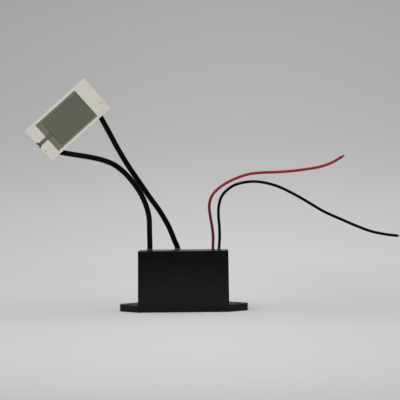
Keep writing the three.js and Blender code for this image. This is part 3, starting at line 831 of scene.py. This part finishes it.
print("resin")
resin = {
    "length": 42.29, "depth": 21.49, "low": 29.2, "lap": 0.3, "rim": 30.28, "corner": 0.45,
    "crown": [(0.25, 0.16), (0.35, 0.15), (0.55, 0.14), (0.9, 0.1), (1.6, 0.06)],  # in, up
    "top": 30.86, "collarDepth": 0.8, "collarSteps": 7, "bite": 0.05,  # of each meniscus
}
menisci = [  # place, lead radius, and how far the lead leans for each mm up
    {"at": (-16.9, -3), "radius": 1.35, "lean": (-0.01, -0.04), "foot": 1.0, "climb": 1.0},
    {"at": (-2.85, 2), "radius": 1.35, "lean": (-0.26, 0), "foot": 1.1, "climb": 1.1},
    {"at": (15, 0.5), "radius": 0.725, "lean": (0.03, 0), "foot": 0.75, "climb": 0.8},
    {"at": (18.1, -1.5), "radius": 0.725, "lean": (0.05, 0), "foot": 0.75, "climb": 0.8},
]


def makeMeniscus(spot):  # resin drawn up round a lead, concave from foot to top
    under = resin["collarDepth"]
    reach = spot["radius"] + spot["foot"]
    clearPick()
    bpy.ops.mesh.primitive_circle_add(
        vertices=40, radius=reach * mm, fill_type="NGON",
        location=metres(*spot["at"], resin["top"] - under),
    )
    collar = freshPiece("meniscus")
    settle(collar)
    startEditing(collar, "FACE")
    chooseAll()
    pull(0, 0, under)
    turns = [i / resin["collarSteps"] * math.pi / 2 for i in range(resin["collarSteps"] + 1)]
    for before, turn in zip(turns, turns[1:]):
        nextReach = spot["radius"] - resin["bite"] + spot["foot"] * (1 - math.sin(turn))
        rise = spot["climb"] * ((1 - math.cos(turn)) - (1 - math.cos(before)))
        pull(spot["lean"][0] * rise, spot["lean"][1] * rise, rise)
        spread(nextReach / reach, nextReach / reach)
        reach = nextReach
    stopEditing(outward=True)
    return collar


def makeResin():
    node = frame["nodes"]["potting_compound"]
    block = bpy.data.objects.new("cast_resin", node.data.copy())
    bpy.context.scene.collection.objects.link(block)
    block.data.name = "cast_resin"
    tidyMesh(block, 0.05)
    above = cubeAt("above", (60, 40, 4), (0, 0, resin["low"] + resin["lap"] + 2))
    combine(block, above, "DIFFERENCE")
    length, depth, height = resin["length"], resin["depth"], resin["rim"] - resin["low"]
    cap = cubeAt("cap", (length, depth, height), (0, 0, resin["low"] + height / 2))
    startEditing(cap, "EDGE")
    roundEdges(cap, standsAlong(2), resin["corner"], 5)
    bpy.ops.mesh.select_mode(type="FACE")
    choose(cap, "faces", facing(0, 0, 1))
    for inward, upward in resin["crown"]:
        pull(0, 0, upward)
        spread(1 - 2 * inward / length, 1 - 2 * inward / depth)
        length, depth = length - 2 * inward, depth - 2 * inward
    stopEditing()
    for spot in menisci:
        combine(cap, makeMeniscus(spot), "UNION")
    combine(block, cap, "UNION")
    tidyMesh(block, 0.05)
    smoothShading(block, 50, flats=True)
    return block


epoxy = Finish("epoxy_resin", Specular_IOR_Level=0.5, IOR=1.5)
ground = epoxy.ground()
ripple = epoxy.noise(ground, 7)
haze = epoxy.between(epoxy.noise(ground, 3.2, 4.0, 0.6), 0.45, 0.75)
specks = epoxy.between(epoxy.noise(ground, 0.5), 0.72, 0.8)
dusty = haze * 0.5 + specks * 0.3
colour = epoxy.mix(dusty, (14, 15, 16), (34, 34, 33))
epoxy.cover(colour, 0.23 + haze * 0.18 + specks * 0.2)
epoxy.relief(ripple + specks * 0.04, 0.13)
handOver(makeResin(), epoxy.material, "epoxy_resin", "potting_compound")


print("ceramic plate")
plate = {
    "length": 40, "width": 20, "thickness": 1, "corner": 0.4, "edge": 0.07,
    "notchRadius": 1.35, "notchAt": -20.15,
}
films = {
    "glaze": {
        "from": -14.2, "to": 12.25, "width": 17, "front": -0.56, "back": -0.5, "corner": 0.15,
    },
    "front": {
        "from": -11.1, "to": 12.15, "width": 14.5, "front": -0.61, "back": -0.555, "corner": 0.9,
        "tabTo": -18.65, "tabWidth": 1.7, "tabFillet": 0.9,
    },
    "rear": {
        "from": -12.25, "to": 12.25, "width": 14.5, "front": 0.5, "back": 0.56, "corner": 0.6,
        "tabTo": 16.85, "tabWidth": 1.7, "tabFillet": 0.9,
    },
}


def ontoPlate(piece):  # from the plate's own place to where it is held
    piece.matrix_world = plateMatrix
    settle(piece)
    return piece


def makePlate():
    tile = cubeAt("alumina_tile", (plate["length"], plate["thickness"], plate["width"]), (0, 0, 0))
    startEditing(tile, "EDGE")
    roundEdges(tile, standsAlong(1), plate["corner"], 5)
    stopEditing()
    clearPick()
    bpy.ops.mesh.primitive_cylinder_add(
        vertices=48, radius=plate["notchRadius"] * mm, depth=3 * plate["thickness"] * mm,
        location=metres(plate["notchAt"], 0, 0), rotation=(math.pi / 2, 0, 0),
    )
    notch = freshPiece("notch")
    settle(notch)
    combine(tile, notch, "DIFFERENCE")
    tidyMesh(tile)
    softenEdges(tile, plate["edge"], 2)
    smoothShading(tile, 35, flats=True)
    return ontoPlate(tile)


def makeFilm(name, film):
    middle = (film["from"] + film["to"]) / 2
    size = (film["to"] - film["from"], film["back"] - film["front"], film["width"])
    layer = cubeAt(name, size, (middle, (film["front"] + film["back"]) / 2, 0))
    side = 1 if film.get("tabTo", 0) > film["to"] else -1
    root = film["to"] if side > 0 else film["from"]

    def isTab(face):  # the strip that the tab grows from
        return face.normal.x * side > 0.9 and abs(face.calc_center_median().z) < 0.1 * mm

    def isCorner(edge):
        offLine = abs(abs(edge.verts[0].co.z) - film["width"] / 2 * mm)
        return standsAlong(1)(edge) and offLine < 0.01 * mm

    def isTabRoot(edge):
        place = edge.verts[0].co
        near = abs(place.x - root * mm) < 0.01 * mm and abs(place.z) < film["tabWidth"] * mm
        return standsAlong(1)(edge) and near

    if "tabTo" in film:
        startEditing(layer, "FACE")
        for z in (-1, 1):
            chooseAll()
            bpy.ops.mesh.bisect(
                plane_co=metres(0, 0, z * film["tabWidth"] / 2), plane_no=(0, 0, 1)
            )
        choose(layer, "faces", isTab)
        pull(film["tabTo"] - root, 0, 0)
        stopEditing()
    tidyMesh(layer)
    startEditing(layer, "EDGE")
    roundEdges(layer, isCorner, film["corner"], 5)
    if "tabTo" in film:
        roundEdges(layer, isTabRoot, film["tabFillet"], 6)
    stopEditing()
    tidyMesh(layer)
    softenEdges(layer, 0.02, 2)
    smoothShading(layer, 35, flats=True)
    return ontoPlate(layer)


def plateGround(finish):  # where a point is on the plate, in millimetres, and its x, y and z
    mapping = finish.node("ShaderNodeMapping", {"vector_type": "TEXTURE"}, {
        "Vector": finish.node("ShaderNodeTexCoord").output("Object"),
        "Location": metres(*platePose["centre"]),
        "Rotation": plateTurn.to_euler("XYZ"),
        "Scale": (mm, mm, mm),
    })
    return mapping, *finish.split(mapping)


def distanceTo(place, x, z):  # in the plane of any two axes
    return ((x - place[0]) ** 2 + (z - place[1]) ** 2) ** 0.5


def insideOf(film, x, z):  # how far inside a film's outline a point is
    middle = (film["from"] + film["to"]) / 2
    half = (film["to"] - film["from"]) / 2
    return (half - abs(x - middle)).least(film["width"] / 2 - abs(z))


def spotAt(finish, x, z, place, radius):  # 1 at the spot's middle, 0 outside its radius
    return finish.between(distanceTo(place, x, z), 0, radius, 1, 0)


marks = {  # on the plate: place, radius and strength
    "stains": [
        ((17.8, -4.7), 1.3, 0.7), ((18.7, -5.4), 1.6, 0.3), ((19.3, -7.1), 1.1, 0.45),
        ((16.3, -8.3), 1.1, 0.5), ((14.0, -7.6), 0.7, 0.4), ((-18.8, -4.4), 1.1, 0.7),
        ((-17.1, 2.7), 0.7, 0.25),
    ],
    "edgeSpots": [((20.1, -10.0), 0.45, 0.8), ((11, 10.05), 0.3, 0.8)],  # small dark spots, on the edge
}
alumina = {
    "shade": (207, 205, 193), "light": (215, 213, 203), "stain": (186, 166, 138),
    "soot": (84, 66, 50), "flux": (150, 116, 70), "edgeSpot": (92, 88, 80),
}
ceramic = Finish("alumina", Specular_IOR_Level=0.4)
ground, x, y, z = plateGround(ceramic)
grain = ceramic.noise(ground, 0.18, 3.0, 0.6)
mottle = ceramic.noise(ground, 5, 3.0, 0.55)
colour = ceramic.mix(mottle, alumina["shade"], alumina["light"])
front = ceramic.between(y, -0.3, -0.45)
back = ceramic.between(y, 0.3, 0.45)
patchy = (0.6 + ceramic.noise(ground, 0.5) * 0.8) * front
for place, radius, strength in marks["stains"]:
    mask = spotAt(ceramic, x, z, place, radius) * patchy * strength
    colour = ceramic.mix(mask, colour, alumina["stain"])
away = distanceTo((plate["notchAt"], 0), x, z)
soot = ceramic.between(away + ceramic.noise(ground, 0.6, 3.0) * 0.5, 1.5, 2.3, 1, 0)
colour = ceramic.mix(soot * 0.85, colour, alumina["soot"])
for solderX in rearSolder.values():  # flux left round the solder
    away = distanceTo((solderX, 0), x, z)
    ring = ceramic.between(away + ceramic.noise(ground, 1.1, 3.0) * 1.4, 2.2, 3.6, 1, 0)
    colour = ceramic.mix(ring * back * 0.5, colour, alumina["flux"])
for place, radius, strength in marks["edgeSpots"]:
    mask = spotAt(ceramic, x, z, place, radius) * strength
    colour = ceramic.mix(mask, colour, alumina["edgeSpot"])
ceramic.cover(colour, 0.48 + mottle * 0.14)
ceramic.relief(grain, 0.004)
handOver(makePlate(), ceramic.material, "alumina", "ceramic_plate")

prints = {
    "glaze": {
        "shade": (114, 112, 95), "light": (121, 119, 102), "edge": (82, 80, 67),
        "edgeWidth": 0.34, "roughness": 0.34,
    },
    "paste": {
        "shade": (94, 95, 84), "light": (101, 102, 91), "edge": (76, 77, 66),
        "edgeWidth": 0.42, "roughness": 0.5,
    },
}


def printedFinish(name, film, looks):
    finish = Finish(name, Specular_IOR_Level=0.35)
    ground, x, y, z = plateGround(finish)
    inside = insideOf(film, x, z)
    rim = finish.between(inside, 0, looks["edgeWidth"], 1, 0)
    if "tabTo" in film:  # on the tab only its long sides count
        onTab = finish.between(inside, -0.02, 0.02, 1, 0)
        tabRim = finish.between(film["tabWidth"] / 2 - abs(z), 0, looks["edgeWidth"], 1, 0)
        rim = rim * (1 - onTab) + tabRim * onTab
    mottle = finish.noise(ground, 2.4, 4.0, 0.6)
    mesh = finish.noise(ground, 0.14)  # the screen that it was printed through
    colour = finish.mix(mottle * 0.7 + mesh * 0.3, looks["shade"], looks["light"])
    finish.cover(finish.mix(rim, colour, looks["edge"]), looks["roughness"] + mottle * 0.12)
    finish.relief(mesh + rim * 0.6, 0.012)
    return finish.material


glaze = printedFinish("glaze", films["glaze"], prints["glaze"])
frontPaste = printedFinish("electrode_paste", films["front"], prints["paste"])
rearPaste = printedFinish("rear_electrode_paste", films["rear"], prints["paste"])
glazeFilm = makeFilm("glaze_print", films["glaze"])
frontFilm = makeFilm("front_electrode_print", films["front"])
rearFilm = makeFilm("rear_electrode_print", films["rear"])
handOver(glazeFilm, glaze, "glaze", "glaze_layer")
handOver(frontFilm, frontPaste, "electrode_paste", "front_electrode")
handOver(rearFilm, rearPaste, "electrode_paste", "rear_electrode")


print("solder on the plate")
blob = {
    "radius": 1.9, "flatten": 0.76, "widen": 1.06, "seat": 0.57, "cutAt": 0.36,
    "wireHold": 0.66, "tail": 2.6,  # solder that has run up the wire: its radius and length
    "voxel": 0.13, "flow": 7, "lumps": 0.16, "lumpSize": 1.3,
}


def roughen(piece, depth, size):  # uneven, as solder is
    pickUp(piece)
    lumps = bpy.data.textures.new("lumps", "CLOUDS")
    lumps.noise_scale = size * mm
    uneven = piece.modifiers.new("uneven", "DISPLACE")
    uneven.texture = lumps
    uneven.strength = depth * mm
    bpy.ops.object.modifier_apply(modifier=uneven.name)


def melt(piece, voxel, rounds):  # flows what overlaps into one skin
    pickUp(piece)
    skin = piece.modifiers.new("skin", "REMESH")
    skin.mode = "VOXEL"
    skin.voxel_size = voxel * mm
    bpy.ops.object.modifier_apply(modifier=skin.name)
    startEditing(piece, "VERT")
    chooseAll()
    bpy.ops.mesh.vertices_smooth(factor=0.5, repeat=rounds)
    stopEditing()


def makeRearSolder(side):
    clearPick()
    bpy.ops.mesh.primitive_ico_sphere_add(
        subdivisions=4, radius=blob["radius"] * mm,
        location=metres(rearSolder[side], blob["seat"], 0),
        scale=(1, blob["flatten"], blob["widen"]),
    )
    drop = freshPiece(f"{side}_solder_joint")
    settle(drop)
    startEditing(drop, "FACE")
    chooseAll()
    bpy.ops.mesh.bisect(
        plane_co=metres(0, blob["cutAt"], 0), plane_no=(0, -1, 0), use_fill=True, clear_outer=True
    )
    stopEditing()
    toPlate = plateInMm.inverted()
    line = [toPlate @ place for place in plateLines[side]]
    whole = lengthOf(line)
    held = layTube("held", stretchOf(line, whole - blob["tail"], whole, 0.4), blob["wireHold"], 16)
    closeEnds(held)
    pickUp(held, drop)
    bpy.ops.object.join()
    melt(drop, blob["voxel"], blob["flow"])
    roughen(drop, blob["lumps"], blob["lumpSize"])
    smoothShading(drop, 50)
    return ontoPlate(drop)


for side in rearSolder:
    handOver(makeRearSolder(side), solderTin, "solder", f"{side}_rear_solder")

lining = {  # the notch's own solder, an oval swept round; reach in degrees each way
    "radius": 0.88, "halfWidth": 0.49, "halfHeight": 0.7, "reach": 82, "steps": 28,
    "voxel": 0.09, "flow": 3, "lumps": 0.16, "lumpSize": 0.7,
}


def makeNotchSolder():
    clearPick()
    bpy.ops.mesh.primitive_circle_add(
        vertices=20, radius=lining["halfHeight"] * mm, fill_type="NGON",
        location=metres(plate["notchAt"] + lining["radius"], 0, 0),
    )
    ring = freshPiece("notch_solder")
    startEditing(ring, "FACE")
    chooseAll()
    spread(lining["halfWidth"] / lining["halfHeight"], 1)
    stopEditing()
    settle(ring)
    startEditing(ring, "FACE")
    chooseAll()
    bpy.ops.mesh.spin(
        steps=lining["steps"], angle=math.radians(2 * lining["reach"]),
        center=metres(plate["notchAt"], 0, 0), axis=(0, 1, 0),
    )
    chooseAll()
    bpy.ops.mesh.remove_doubles(threshold=1e-7)
    stopEditing(outward=True)
    axis = Matrix.Translation(metres(plate["notchAt"], 0, 0))
    halfTurn = Matrix.Rotation(math.radians(lining["reach"]), 4, "Y")
    ring.matrix_world = axis @ halfTurn @ axis.inverted()
    settle(ring)
    melt(ring, lining["voxel"], lining["flow"])
    roughen(ring, lining["lumps"], lining["lumpSize"])
    smoothShading(ring, 60)
    return ontoPlate(ring)


burnt = Finish("burnt_solder", Specular_IOR_Level=0.5)
ground, x, y, z = plateGround(burnt)
core = distanceTo((plate["notchAt"] - 0.1, 0), x, z)
char = burnt.between(core + burnt.noise(ground, 0.5, 3.0) * 0.3, 0.85, 1.1)
burnt.cover(burnt.mix(char, (158, 144, 122), (34, 27, 20)), 0.28 + char * 0.3)
burnt.drive("Metallic", (1 - char) * 0.25)
burnt.relief(burnt.noise(ground, 0.2, 3.0), 0.03)
handOver(makeNotchSolder(), burnt.material, "burnt_solder", "edge_terminal")


print("pieces on the board")


def wear(nodes, finish):  # a finish for CAD nodes that stay as they are
    for node in nodes:
        materials = frame["nodes"][node].data.materials
        materials.clear()
        materials.append(finish)


tinned = (188, 188, 184)


def legsBelow(finish, height, level):  # 1 on tinned legs under a body, 0 on the body
    return finish.between(height, level, level + 0.04, 1, 0)


def partFinish(name, shade, light, grain, roughness, legLevel=None, gloss=0.4):
    finish = Finish(name, Specular_IOR_Level=gloss)
    ground = finish.ground()
    cloud = finish.noise(ground, grain, 4.0, 0.6)
    colour = finish.mix(cloud, shade, light)
    rough = roughness + cloud * 0.12
    if legLevel is not None:
        legs = legsBelow(finish, finish.split(ground)[2], legLevel)
        colour = finish.mix(legs, colour, tinned)
        rough = rough * (1 - legs) + legs * 0.3
        finish.drive("Metallic", legs)
    finish.cover(colour, rough)
    finish.relief(finish.noise(ground, grain * 0.25, 3.0), 0.02)
    return finish.material


def bandedFinish(node, looks):  # a body along y with painted bands
    low, high = [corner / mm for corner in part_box(node)]
    radius = (high.x - low.x) / 2
    level = high.z - radius
    finish = Finish(f"{node}_body", Specular_IOR_Level=0.45)
    ground = finish.ground()
    x, y, z = finish.split(ground)
    off = distanceTo(((low.x + high.x) / 2, level), x, z)
    along = y - (low.y + high.y) / 2
    onBody = finish.between(abs(along), looks["half"] - 0.02, looks["half"] + 0.02, 1, 0)
    onBody = onBody * finish.between(z, level - radius - 0.05, level - radius, 0, 1)
    light = [part * 1.08 for part in looks["shade"]]
    colour = finish.mix(finish.noise(ground, 0.8, 3.0), looks["shade"], light)
    inner, outer = looks["halfBand"], looks["halfBand"] + 0.06
    for place, paint in zip(looks["places"], looks["bands"]):
        band = finish.between(abs(along - place), inner, outer, 1, 0)
        colour = finish.mix(band, colour, paint)
    wire = (1 - onBody + finish.between(off, 0.33, 0.36, 1, 0)).least(1.0)
    rough = 0.42 - wire * 0.12 + finish.noise(ground, 0.5) * 0.08
    finish.cover(finish.mix(wire, colour, tinned), rough)
    finish.drive("Metallic", wire)
    return finish.material


def windingFinish(name, shade, light, pitch):  # enamelled wire laid in close turns
    finish = Finish(name, Metallic=0.7)
    ridge = (finish.split(finish.ground())[2] * (2 * math.pi / pitch)).sine() * 0.5 + 0.5
    # lighter on each turn's crest and darker in the grooves between turns: painted highlight and
    # painted shade
    finish.cover(finish.mix(ridge, shade, light), 0.42 - ridge * 0.14)
    finish.relief(ridge, pitch * 0.3)
    return finish.material


board = Finish("phenolic_board", Specular_IOR_Level=0.4)
ground = board.ground()
drawn = board.node("ShaderNodeMapping", {}, {"Vector": ground, "Scale": (0.4, 3.0, 3.0)})
fibre = board.noise(drawn, 1.0, 4.0)
flat = board.node("ShaderNodeMapping", {}, {"Vector": ground, "Scale": (1, 1, 0)})
squares = {"distance": "CHEBYCHEV"}
tracks = board.node("ShaderNodeTexVoronoi", squares, {"Vector": flat, "Scale": 0.22})
underside = board.between(board.split(ground)[2], 4.84, 4.86, 1, 0)
copper = board.between(tracks, 0.3, 0.34, 1, 0) * underside
paper = board.mix(fibre, (176, 142, 88), (200, 168, 112))
board.cover(board.mix(copper, paper, (70, 104, 66)), 0.55 - copper * 0.2 + fibre * 0.1)

can = {"at": (4, 5), "lidRadius": 3.2, "lidLevel": 18.12, "legLevel": 6.68, "stripeFrom": 7.0}
sleeve = Finish("capacitor_sleeve", Specular_IOR_Level=0.5)
ground = sleeve.ground()
x, y, z = sleeve.split(ground)
lid = sleeve.between(distanceTo(can["at"], x, y), can["lidRadius"], can["lidRadius"] + 0.1, 1, 0)
lid = sleeve.between(z, can["lidLevel"], can["lidLevel"] + 0.04) * lid
bare = lid.most(legsBelow(sleeve, z, can["legLevel"]))
stripe = sleeve.between(x, can["stripeFrom"], can["stripeFrom"] + 0.05)
paint = sleeve.mix(sleeve.noise(ground, 1.5, 3.0), (28, 40, 66), (40, 54, 82))
paint = sleeve.mix(stripe, paint, (150, 156, 164))
rough = 0.36 + sleeve.noise(ground, 0.6) * 0.1
sleeve.cover(sleeve.mix(bare, paint, (190, 192, 194)), rough)
sleeve.drive("Metallic", bare)

ferrite = partFinish("ferrite", (52, 53, 56), (70, 71, 73), 0.6, 0.62)
bobbin = partFinish("bobbin_resin", (30, 28, 26), (42, 40, 37), 1.4, 0.5)
primary = windingFinish("primary_wire", (112, 58, 26), (196, 118, 62), 0.28)
secondary = windingFinish("secondary_wire", (98, 46, 22), (172, 92, 46), 0.1)
moulded = partFinish("component_black", (30, 30, 32), (44, 44, 46), 0.5, 0.55, 8.78)
filmCase = partFinish("film_case", (132, 38, 30), (156, 54, 42), 0.9, 0.34, 6.68, 0.55)
wear(["driver_board"], board.material)
wear(["lower_core_half", "upper_core_half"], ferrite)
wear(["transformer_bobbin"], bobbin)
wear(["primary_winding"], primary)
wear(["secondary_winding"], secondary)
wear([f"transformer_pin_{i}" for i in (1, 2, 3, 4)], tinnedCopper)
wear(["reservoir_capacitor"], sleeve.material)
wear(["switching_transistor"], moulded)
wear(["resonant_capacitor"], filmCase)

resistor = {
    "shade": (214, 186, 140), "places": (-1.9, -0.9, 0.1, 1.9), "halfBand": 0.3, "half": 3.15,
}
banded = {
    "base_resistor": resistor | {
        "bands": [(150, 92, 40), (24, 24, 24), (200, 60, 30), (190, 150, 60)],
    },
    "start_resistor": resistor | {
        "bands": [(110, 60, 30), (30, 110, 60), (230, 200, 60), (190, 150, 60)],
    },
    "polarity_diode": {
        "shade": (32, 32, 34), "places": (1.6,), "halfBand": 0.35, "half": 2.6,
        "bands": [(180, 182, 184)],
    },
}
for node, looks in banded.items():
    wear([node], bandedFinish(node, looks))
for name in ("left_high_voltage", "right_high_voltage", "red_supply", "black_supply"):
    wear([f"{name}_board_wire"], tinnedCopper)
    wear([f"{name}_board_solder"], solderTin)
